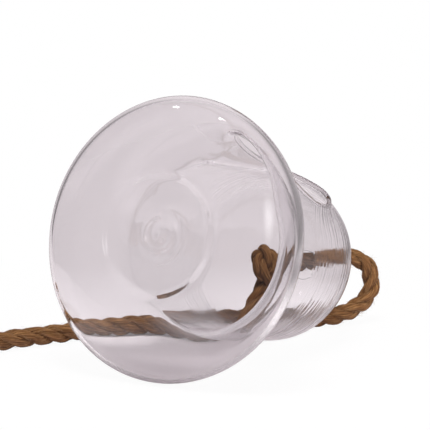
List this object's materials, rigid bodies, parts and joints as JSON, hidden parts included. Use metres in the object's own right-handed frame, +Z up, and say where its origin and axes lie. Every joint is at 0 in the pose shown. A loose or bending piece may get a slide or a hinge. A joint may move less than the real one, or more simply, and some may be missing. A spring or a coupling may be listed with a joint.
{
  "type": "propagation vase",
  "caption": "Hanging propagation vase: a blown clear glass vessel with a wide flat bulb, a domed upper part and a flared side opening, on a natural fibre rope.",
  "frame": {"origin": "centre of the glass vessel's bounding box at the floor, with the vessel lying on its side as pictured", "axes": "+Z up from the floor; +X along the vessel's lying length, towards its dome and rope hole; the vessel's axis lies in the XZ plane, 11.83 degrees below +X"},
  "size_m": [0.3073, 0.3512, 0.1473],
  "materials": {
    "clear_glass": "clear, fire-polished",
    "fibre_rope": "twisted natural fibre, rough"
  },
  "bodies": {
    "root": {"glass_vessel": "clear_glass", "rope_stopper_knot": "fibre_rope", "rope_tail": "fibre_rope", "rope_run": "fibre_rope", "rope_coil": "fibre_rope"}
  },
  "joints": []
}
